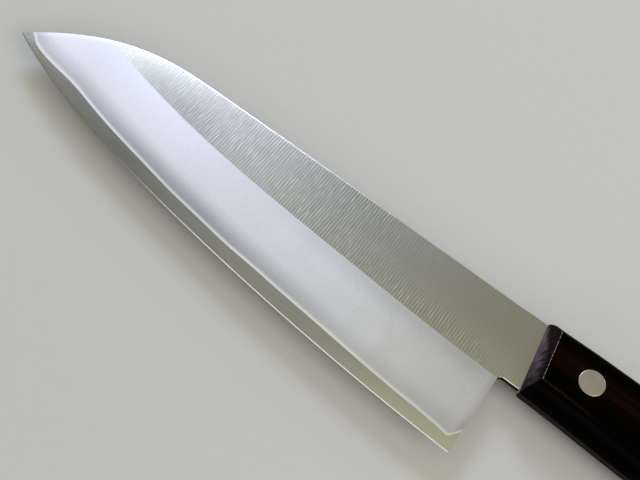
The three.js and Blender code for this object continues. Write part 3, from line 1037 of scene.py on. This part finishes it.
FLAT_LOOK = {
    # what is measured, where the step starts and ends, value before it, value after it
    "ridges": ("along", -0.112, -0.085, 0.55, 1.0),
    "fine_ridges": ("along", -0.112, -0.085, 0.8, 0.0),
    "hair_lines": ("hairs", 0.42, 0.75, 0.0, 1.0),
    "low_on_flat": ("above_bevel", 0.005, 0.013, 1.0, 0.75),
    "by_the_back": ("below_back", 0.0016, 0.0045, 0.3, 0.0),
    "calm_rear": ("along", -0.062, -0.026, 0.0, -0.75),
    "off_the_bevel": ("above_bevel", 0.003, 0.009, 0.0, 1.0),
    "at_neck": ("along", -0.012, -0.003, 1.0, 0.3),
    "nose_depth": ("along", -0.143, -0.112, 0.6, 1.0),
    "patchy": ("patches", 0.36, 0.64, 0.7, 1.2),
    "behind_nose": ("along", -0.143, -0.112, 0.0, 1.0),
    "high_on_flat": ("above_bevel", 0.002, 0.014, 0.0, 1.0),
    "in_rear": ("along", -0.090, -0.055, 0.0, 1.0),
    "past_its_tip": ("along", -0.144, -0.128, 0.0, 1.0),
    "before_middle": ("along", -0.125, -0.084, 1.0, 0.0),
    "near_bevel": ("above_bevel", 0.002, 0.0115, 1.0, 0.0),
    "in_front": ("along", -0.120, -0.085, 1.0, 0.0),
    "near_back": ("below_back", 0.0006, 0.0040, 1.0, 0.0),
}
# Tone of the flat. The lines and satin are its own; the steps along the blade and by the back are
# painted highlight and shade.
FLAT_TONE_AND_PAINTED_LIGHT = {
    "base": 1.30, "lines": 0.25, "satin": 0.08, "behind_nose": -0.25, "in_rear": -0.075, "high": -0.13,
    "low_in_front": -0.26, "back_in_front": 0.11,
}
FLAT_ROUGHNESS = {"base": 0.29, "lines": 0.015}
FLAT_ANISOTROPY = 0.3
BETWEEN_LINES, DEEPEST_LINE = -0.3, -0.8

# The haze's steps along the blade, at its foot, under the bevel line and by the back, and the band's
# steps in mid-blade and at the heel, are painted highlight and shade
BEVEL_LOOK = {
    "dark_middle": ("from_middle", 0.005, 0.080, 0.50, 0.15),
    "dark_tip": ("along", -0.165, -0.150, 0.11, 0.0),
    "foot": ("above_core", 0.0004, 0.0078, -1.0, 0.0),
    "in_rear": ("along", -0.115, -0.030, 0.0, 1.0),
    "under_bevel_line": ("above_bevel", -0.007, 0.0, 0.0, -0.18),
    "towards_heel": ("along", -0.040, -0.004, 1.0, 0.88),
    "at_heel": ("along", -0.0022, -0.0002, 1.0, 0.86),
    "by_the_back": ("below_back", 0.0006, 0.0026, 1.16, 1.0),
    "at_tip": ("along", -0.168, -0.145, 1.12, 1.0),
    "dimmer_stretch": ("from_dim_place", 0.0, 0.028, 0.955, 1.0),
    "band_middle": ("from_middle", 0.0, 0.045, 0.86, 1.0),
    "band_heel": ("along", -0.030, 0.0, 1.0, 0.92),
    "band_tip": ("along", -0.160, -0.130, 0.8, 1.0),
    "roughness": ("cloud", 0.3, 0.7, 0.47, 0.51),
}
BEVEL_TONE = {"base": 0.86, "cloud": 0.06, "speckle": 0.22}
# Middle of the painted shade at the bevel's foot, and of its painted dimmer stretch
BEVEL_MIDDLE, BEVEL_DIM_PLACE = -0.103, -0.092
BAND_START, BAND_END = 0.4, 1.4     # where the band fades out, in line widths

# The core's steps along the blade are painted shade in mid-blade and a painted highlight at the tip
CORE_LOOK = {
    "middle": ("from_middle", 0.0, 0.055, 0.72, 1.11),
    "tip": ("along", -0.165, -0.145, 1.15, 0.97),
    "roughness": ("polish", 0.3, 0.7, 0.20, 0.24),
    "tip_roughness": ("along", -0.169, -0.158, 0.11, 0.0),
}
CORE_TONE = {"base": 0.91, "polish": 0.08, "cloud": 0.10}
CORE_SHADE_MIDDLE = -0.122

HONED_LOOK = {
    "tip": ("along", -0.130, -0.100, 0.52, 1.0),
    "roughness": ("stone", 0.3, 0.7, 0.16, 0.24),
}
HONED_TONE = {"base": 0.93, "stone": 0.12}

BACK_LOOK = {"roughness": ("polish", 0.3, 0.7, 0.28, 0.38)}
BACK_TONE = {"base": 0.88, "polish": 0.16}

# Mottle and streaks of the painted shade under the neck and tang
UNDERSIDE_LOOK = {
    "worn": ("wear", 0.45, 0.8, 1.0, 1.8),
    "scaly": ("scale", 0.3, 0.7, 0.02, 0.07),
    "roughness": ("scale", 0.3, 0.7, 0.42, 0.62),
}

WOOD_LOOK = {
    "heart_height": ("from_heart", 0.0012, 0.0042, 1.0, 0.0),
    "heart_figure": ("figure", 0.36, 0.60, 0.0, 1.0),
    "heart_length": ("x", 0.056, 0.076, 1.0, 0.35),
    "streaky": ("figure", 0.50, 0.74, 0.0, 1.0),
    "open_pores": ("pores", 0.30, 0.44, 0.35, 1.0),
    "arris_width": ("from_arris", 0.0001, 0.0005, 1.0, 0.0),
    "arris_length": ("x", 0.036, 0.056, 1.0, 0.0),
    "arris_flecks": ("flecks", 0.38, 0.62, 0.05, 1.0),
    "on_end": ("forward", 0.55, 0.70, 0.0, 1.0),
    "sanding": ("sanding", 0.36, 0.64, 0.30, 1.90),
    "sanded": ("past_sanding", -0.24, 0.18, 1.0, 0.08),
    # The front end is painted lighter towards its top: a painted highlight
    "towards_top": ("y", 0.001, 0.021, 0.36, 2.1),
    # Where the painted highlight round the front end's corner lies
    "corner_start": ("forward", 0.22, 0.34, 0.0, 1.0),
    "corner_end": ("forward", 0.56, 0.68, 1.0, 0.0),
    "corner_side": ("sideways", 0.66, 0.76, 0.0, 1.0),
    "corner_flat": ("up_or_down", 0.20, 0.32, 1.0, 0.0),
    "corner_flecks": ("flecks", 0.42, 0.58, 0.08, 1.0),
    "side_roughness": ("narrow", 0.35, 0.65, 0.20, 0.30),
    "end_roughness": ("scratches", 0.35, 0.65, 0.30, 0.46),
}
FIGURE = {"base": 0.0, "wide": 0.62, "narrow": 0.38}
SANDING = {"base": 0.0, "scratches": 0.7, "patches": 0.3}
SANDING_EDGE = {"base": 0.80, "bow": -0.36}
WOOD_HEIGHT = {"base": 0.0, "pores": 0.5, "scratches": 0.8}
HEART_Y = 0.0140
END_MIDDLE_Y, END_REACH = 0.0060, 0.0125
WOOD_GLOSS = 0.02

RIVET_LOOK = {"roughness": ("grinding", 0.3, 0.7, 0.28, 0.40)}
RIVET_TONE = {"base": 0.85, "grinding": 0.16, "cloud": 0.14}

FLOOR_TONE = {"base": 0.985, "grain": 0.03}
FLOOR_ROUGHNESS = 0.75


def flat_finish(colours):
    """Flat of the blade, brushed across, most plainly above the bevel line and along the back. Its
    tone also carries painted highlight and shade: lighter on the nose and by the back in front, darker
    behind the nose, high on the flat, in the rear and near the bevel in front.
    """
    finish = Finish("brushed_flat")
    at = finish.steps(
        FLAT_LOOK, hairs=finish.streaks("hairs", BRUSHED), patches=finish.grain("brushing_patches"))
    brushing = finish.total(
        finish.product(finish.ridges(BRUSHED, RIDGE_SPACING), at.ridges),
        finish.product(finish.ridges(BRUSHED, FINE_RIDGE_SPACING), at.fine_ridges),
        at.hair_lines, BETWEEN_LINES)
    calm = finish.total(finish.product(at.calm_rear, at.off_the_bevel), 1.0)
    depth = finish.product(
        finish.total(at.low_on_flat, at.by_the_back), calm, at.at_neck, at.patchy, at.nose_depth)
    lines = finish.product(finish.math("MAXIMUM", brushing, DEEPEST_LINE), depth)
    # The steps along the blade and by the back paint highlight and shade into the flat's colour
    tone = finish.blend(
        FLAT_TONE_AND_PAINTED_LIGHT, lines=lines, satin=finish.streaks("satin", BRUSHED),
        behind_nose=at.behind_nose, in_rear=at.in_rear,
        high=finish.product(at.behind_nose, at.high_on_flat),
        low_in_front=finish.product(at.past_its_tip, at.before_middle, at.near_bevel),
        back_in_front=finish.product(at.in_front, at.near_back))
    tangent = finish.node("ShaderNodeTangent", direction_type="UV_MAP", uv_map=BRUSH_MAP).outputs[0]
    return finish.done(
        Base_Color=finish.scaled(colours.flat, tone), Metallic=1.0,
        Roughness=finish.blend(FLAT_ROUGHNESS, lines=lines),
        Anisotropic=FLAT_ANISOTROPY, Tangent=tangent, Normal=finish.bump(lines))


def bevel_finish(colours, blade):
    """Hazy bevel with painted shade at its foot in mid-blade, under the bevel line in the rear, in a
    dim stretch and towards the heel, painted highlight by the back and at the tip, and the bright band
    at the cladding's end, painted darker in mid-blade and at the heel.
    """
    finish = Finish("hazy_bevel")
    cloud, speckle = finish.grain("haze_cloud"), finish.grain("haze_speckle")
    along = finish.note("along")
    at = finish.steps(
        BEVEL_LOOK, along=along, cloud=cloud, from_middle=finish.away_from(BEVEL_MIDDLE, along),
        from_dim_place=finish.away_from(BEVEL_DIM_PLACE, along))
    # Painted shade: darker at the bevel's foot, most in mid-blade, and darker under the bevel line in
    # the rear
    shade_at_foot = finish.total(finish.product(finish.total(at.dark_middle, at.dark_tip), at.foot), 1.0)
    shade_under_bevel_line = finish.total(finish.product(at.in_rear, at.under_bevel_line), 1.0)
    uneven = finish.blend(BEVEL_TONE, cloud=cloud, speckle=speckle)
    # The haze colour with painted shade towards the heel and in a dim stretch, and painted highlight
    # by the back and at the tip
    haze = finish.scaled(colours.haze, finish.product(
        uneven, at.towards_heel, at.at_heel, at.at_tip, at.dimmer_stretch, at.by_the_back,
        shade_at_foot, shade_under_bevel_line))
    line = finish.mix(at.in_rear, colours.line, colours.line_rear)
    # The band is painted darker in mid-blade and at the heel
    band = finish.scaled(line, finish.product(at.band_middle, at.band_heel))
    above_core = finish.product(finish.note("above_core"), at.band_tip)
    width = blade.line_width
    in_band = finish.step(above_core, BAND_START * width, BAND_END * width, 1.0, 0.0)
    return finish.done(
        Base_Color=finish.mix(in_band, haze, band), Metallic=1.0, Roughness=at.roughness,
        Normal=finish.bump(speckle))


def core_finish(colours):
    """Semi-polished core with faint lines along the edge, with painted shade in mid-blade and a
    painted highlight at the tip.
    """
    finish = Finish("polished_core")
    polish = finish.streaks("core_polish", LENGTHWISE)
    along = finish.note("along")
    at = finish.steps(
        CORE_LOOK, along=along, polish=polish, from_middle=finish.away_from(CORE_SHADE_MIDDLE, along))
    uneven = finish.blend(CORE_TONE, polish=polish, cloud=finish.grain("core_cloud"))
    return finish.done(
        Base_Color=finish.scaled(colours.core, finish.product(uneven, at.middle, at.tip)),
        Metallic=1.0, Roughness=finish.total(at.roughness, at.tip_roughness),
        Normal=finish.bump(polish))


def honed_finish(colours):
    """Honed edge with the fine marks of the stone across it, duller towards the tip."""
    finish = Finish("honed_edge")
    stone = finish.streaks("stone_marks", BRUSHED)
    at = finish.steps(HONED_LOOK, stone=stone)
    uneven = finish.blend(HONED_TONE, stone=stone)
    return finish.done(
        Base_Color=finish.scaled(colours.polished, finish.product(uneven, at.tip)), Metallic=1.0,
        Roughness=at.roughness, Normal=finish.bump(stone))


def back_finish(colours):
    """Polished back of the blade and broken corners, with fine lines along them."""
    finish = Finish("polished_back")
    polish = finish.streaks("back_polish", ALONG_THE_BACK)
    at = finish.steps(BACK_LOOK, polish=polish)
    return finish.done(
        Base_Color=finish.scaled(colours.polished, finish.blend(BACK_TONE, polish=polish)),
        Metallic=1.0, Roughness=at.roughness, Normal=finish.bump(polish))


def underside_finish(colours):
    """Underside of the neck and tang, painted dark as shade, mottled and streaked."""
    finish = Finish("dark_underside")
    # Mottle of the painted shade
    scale = finish.grain("underside_mottle")
    at = finish.steps(UNDERSIDE_LOOK, scale=scale, wear=finish.streaks("forge_wear", ALONG_THE_BACK))
    return finish.done(
        Base_Color=finish.scaled(colours.underside, finish.product(at.worn, at.scaly)), Metallic=1.0,
        Roughness=at.roughness, Normal=finish.bump(scale))


def rim_finishes(colours):
    return back_finish(colours), underside_finish(colours)


def wood_finish(colours):
    """Near-black wood with red-brown streaks and pores, a red-brown line along the lower corner, a
    painted highlight round the front end's corner, and a sanded front end painted lighter towards its
    top.
    """
    finish = Finish("dark_wood")
    wide, narrow = (finish.streaks(name, LENGTHWISE) for name in ("wide_figure", "narrow_figure"))
    scratches = finish.streaks("scratches", SANDED)
    x, y, _ = finish.parts(finish.place())
    facing = finish.parts(finish.node("ShaderNodeNewGeometry").outputs["Normal"])
    off_middle = finish.math("DIVIDE", finish.math("SUBTRACT", y, END_MIDDLE_Y), END_REACH)
    sanding_edge = finish.blend(SANDING_EDGE, bow=finish.product(off_middle, off_middle))
    at = finish.steps(
        WOOD_LOOK, x=x, y=y, narrow=narrow, scratches=scratches,
        figure=finish.blend(FIGURE, wide=wide, narrow=narrow),
        pores=finish.streaks("pores", LENGTHWISE), flecks=finish.grain("wood_flecks"),
        from_heart=finish.away_from(HEART_Y, y),
        from_arris=finish.math("ABSOLUTE", finish.note("above_arris")),
        forward=finish.product(facing[0], -1.0), up_or_down=finish.math("ABSOLUTE", facing[1]),
        sideways=finish.math("ABSOLUTE", facing[2]),
        sanding=finish.blend(SANDING, scratches=scratches, patches=finish.grain("sanding_patches")),
        past_sanding=finish.math("SUBTRACT", finish.note("outward"), sanding_edge))

    body = finish.mix(at.streaky, colours.wood, colours.streak)
    in_heart = finish.product(at.heart_height, at.heart_figure, at.heart_length)
    body = finish.scaled(finish.mix(in_heart, body, colours.heart), at.open_pores)
    # A red-brown line along the corner above the lower slope, over the front of the handle, broken
    # into flecks
    on_arris = finish.product(at.arris_width, at.arris_length, at.arris_flecks)
    body = finish.mix(on_arris, body, colours.arris)
    # Sanded end grain, darker past the sanded part, with a painted highlight towards the top
    end = finish.scaled(colours.end_grain, finish.product(at.sanding, at.sanded, at.towards_top))
    # Painted highlight along the corner round the front end
    on_highlit_corner = finish.product(
        at.corner_start, at.corner_end, at.corner_side, at.corner_flat, at.corner_flecks)
    wood = finish.mix(on_highlit_corner, finish.mix(at.on_end, body, end), colours.worn)
    scratched = finish.product(scratches, at.on_end)
    height = finish.blend(WOOD_HEIGHT, pores=at.open_pores, scratches=scratched)
    return finish.done(
        Base_Color=wood, Roughness=finish.between(at.on_end, at.side_roughness, at.end_roughness),
        Specular_IOR_Level=WOOD_GLOSS, Normal=finish.bump(height))


def rivet_finish(colours):
    """Satin steel, ground flush with the wood along the handle."""
    finish = Finish("rivet_steel")
    grinding = finish.streaks("grinding", LENGTHWISE)
    at = finish.steps(RIVET_LOOK, grinding=grinding)
    uneven = finish.blend(RIVET_TONE, grinding=grinding, cloud=finish.grain("rivet_cloud"))
    return finish.done(
        Base_Color=finish.scaled(colours.rivet, uneven), Metallic=1.0, Roughness=at.roughness,
        Normal=finish.bump(grinding))


def floor_finish(colours):
    """Plain pale floor with a faint grain."""
    finish = Finish("pale_floor")
    uneven = finish.blend(FLOOR_TONE, grain=finish.grain("floor_grain"))
    return finish.done(Base_Color=finish.scaled(colours.floor, uneven), Roughness=FLOOR_ROUGHNESS)


# Stage

LAMPS = (
    # name, place, width, height, watts, colour, whether it is turned to the knife
    ("front_softbox", (-0.603, 0.783, 0.680), 0.40, 0.40, 5.5, (0.653, 0.754, 1.0), True),
    ("edge_strip", (-0.21, -0.33, 1.00), 0.70, 0.18, 0.30, (1.0, 1.0, 1.0), False),
    ("top_panel", (0.17, 0.15, 1.02), 0.66, 0.50, 0.28, (0.98, 1.0, 0.56), True),
    ("side_softbox", (1.05, -0.30, 0.80), 1.00, 1.00, 8.6, (1.0, 0.93, 0.93), True),
    ("back_card", (0.50, 1.07, 0.43), 0.14, 0.14, 0.9, (1.0, 0.97, 0.90), True),
    ("low_card", (0.04, -1.10, 0.55), 0.60, 0.30, 0.8, (1.0, 1.0, 1.0), True),
)


def lay_floor(scene):
    half = scene.knife_stage.floor_size / 2
    mesh = bpy.data.meshes.new("floor")
    corners = [(-half, -half, 0), (half, -half, 0), (half, half, 0), (-half, half, 0)]
    mesh.from_pydata(corners, [], [(0, 1, 2, 3)])
    mesh.materials.append(floor_finish(scene.knife_colours))
    floor = bpy.data.objects.new("floor", mesh)
    scene.collection.objects.link(floor)


def light_room(scene):
    world = bpy.data.worlds.new("room")
    world.use_nodes = True
    background = world.node_tree.nodes["Background"]
    background.inputs["Color"].default_value = (*scene.knife_stage.room, 1)
    background.inputs["Strength"].default_value = scene.knife_stage.room_strength
    scene.world = world


def hang_lamp(scene, name, place, width, height, watts, tone, turned_to_knife):
    data = bpy.data.lights.new(name, "AREA")
    data.shape = "RECTANGLE"
    data.size, data.size_y = width, height
    data.energy = watts
    data.color = tone
    lamp = bpy.data.objects.new(name, data)
    scene.collection.objects.link(lamp)
    lamp.location = place
    if turned_to_knife:
        lamp.rotation_mode = "QUATERNION"
        lamp.rotation_quaternion = (-lamp.location).to_track_quat("-Z", "Y")


def set_camera(scene):
    stage = scene.knife_stage
    data = bpy.data.cameras.new("camera")
    data.lens = stage.lens
    data.sensor_width = SENSOR_WIDTH
    data.clip_start = CLIP_START
    camera = bpy.data.objects.new("camera", data)
    scene.collection.objects.link(camera)
    looks = Vector(stage.target) - Vector(stage.camera)
    turn = looks.to_track_quat("-Z", "Y").to_matrix() @ Matrix.Rotation(stage.roll, 3, "Z")
    camera.matrix_world = Matrix.Translation(stage.camera) @ turn.to_4x4()
    scene.camera = camera


# Operators

class KNIFE_OT_core(Operator):
    """Makes the core of the blade, which shows along the edge and runs on through the tang"""
    bl_idname = "knife.core"
    bl_label = "Core Steel"

    def execute(self, context):
        knife = Knife(context.scene)
        piece = core_skin(knife).piece("blade_core", knife.heel)
        cut_holes(piece, knife, plate_bore(knife))
        note_places(piece, knife)
        colours = context.scene.knife_colours

        def zone(face):
            if mean_note(piece, "rise", face) < knife.blade.honed_height:
                return "honed_edge"
            return rim_finish(piece, knife, face) or "polished_core"

        finishes = named(core_finish(colours), honed_finish(colours), *rim_finishes(colours))
        shade(piece, finishes, zone)
        keep_crisp(piece, "rise", knife.blade.honed_height)
        stands_for(piece, "core_steel")
        return {"FINISHED"}


class KNIFE_OT_claddings(Operator):
    """Makes the two outer layers of the blade and tang"""
    bl_idname = "knife.claddings"
    bl_label = "Claddings"

    def execute(self, context):
        knife = Knife(context.scene)
        colours = context.scene.knife_colours
        finishes = named(
            bevel_finish(colours, knife.blade), flat_finish(colours), *rim_finishes(colours))
        for name, side in (("left", 1), ("right", -1)):
            piece = cladding_skin(knife).piece(f"blade_cladding_{name}", knife.heel, side)
            cut_holes(piece, knife, plate_bore(knife))
            note_places(piece, knife)

            def zone(face):
                on_flat = mean_note(piece, "above_bevel", face) > 0
                return rim_finish(piece, knife, face) or ("brushed_flat" if on_flat else "hazy_bevel")

            shade(piece, finishes, zone)
            keep_crisp(piece, "above_bevel", 0.0)
            stands_for(piece, f"{name}_cladding")
        return {"FINISHED"}


class KNIFE_OT_scales(Operator):
    """Makes the two wooden scales of the handle"""
    bl_idname = "knife.scales"
    bl_label = "Handle Scales"

    def execute(self, context):
        knife = Knife(context.scene)
        finish = wood_finish(context.scene.knife_colours)
        for name, side in (("left", 1), ("right", -1)):
            piece = scale_skin(knife).piece(f"handle_scale_{name}", knife.heel, side)
            cut_holes(piece, knife, scale_bore(knife), side)
            note_wood(piece, knife)
            shade(piece, named(finish), lambda face: finish.name)
            stands_for(piece, f"{name}_scale")
        return {"FINISHED"}


class KNIFE_OT_rivets(Operator):
    """Makes the three rivets, each a headed tube and a headed pin"""
    bl_idname = "knife.rivets"
    bl_label = "Rivets"

    def execute(self, context):
        knife = Knife(context.scene)
        finish = rivet_finish(context.scene.knife_colours)
        for i, name in enumerate(RIVET_NAMES):
            x, y = knife.rivet_centre(i)
            offset = knife.heel + Vector((x, y, 0))
            for half, profile, side in (("tube", tube_profile, 1), ("pin", pin_profile, -1)):
                piece = turned(profile(knife)).piece(f"rivet_{name}_{half}", offset, side)
                shade(piece, named(finish), lambda face: finish.name)
                stands_for(piece, f"{name}_rivet_{half}")
        return {"FINISHED"}


class KNIFE_OT_stage(Operator):
    """Makes the floor, the lamps, the light of the room and the camera"""
    bl_idname = "knife.stage"
    bl_label = "Stage"

    def execute(self, context):
        scene = context.scene
        lay_floor(scene)
        light_room(scene)
        for lamp in LAMPS:
            hang_lamp(scene, *lamp)
        set_camera(scene)
        scene.view_settings.view_transform = "Standard"
        return {"FINISHED"}


class KNIFE_PT_panel(Panel):
    """Lists the knife's pieces and sizes in the sidebar"""
    bl_idname = "KNIFE_PT_panel"
    bl_label = "Knife"
    bl_space_type = "VIEW_3D"
    bl_region_type = "UI"
    bl_category = "Knife"

    def draw(self, context):
        for operator in OPERATORS:
            self.layout.operator(operator.bl_idname)
        for name, group in SETTINGS.items():
            box = self.layout.box()
            for key in group.__annotations__:
                box.prop(getattr(context.scene, name), key)


OPERATORS = (KNIFE_OT_core, KNIFE_OT_claddings, KNIFE_OT_scales, KNIFE_OT_rivets, KNIFE_OT_stage)
SETTINGS = {
    "knife_blade": BladeSizes,
    "knife_handle": HandleSizes,
    "knife_rivets": RivetSizes,
    "knife_colours": Colours,
    "knife_stage": StageSettings,
}


def register():
    for group in SETTINGS.values():
        bpy.utils.register_class(group)
    for operator in OPERATORS:
        bpy.utils.register_class(operator)
    bpy.utils.register_class(KNIFE_PT_panel)
    for name, group in SETTINGS.items():
        setattr(bpy.types.Scene, name, PointerProperty(type=group))


def unregister():
    for name in SETTINGS:
        delattr(bpy.types.Scene, name)
    bpy.utils.unregister_class(KNIFE_PT_panel)
    for operator in OPERATORS:
        bpy.utils.unregister_class(operator)
    for group in SETTINGS.values():
        bpy.utils.unregister_class(group)


def main():
    register()
    bpy.ops.knife.stage()
    bpy.ops.knife.core()
    bpy.ops.knife.claddings()
    bpy.ops.knife.scales()
    bpy.ops.knife.rivets()


if __name__ == "__main__":
    main()
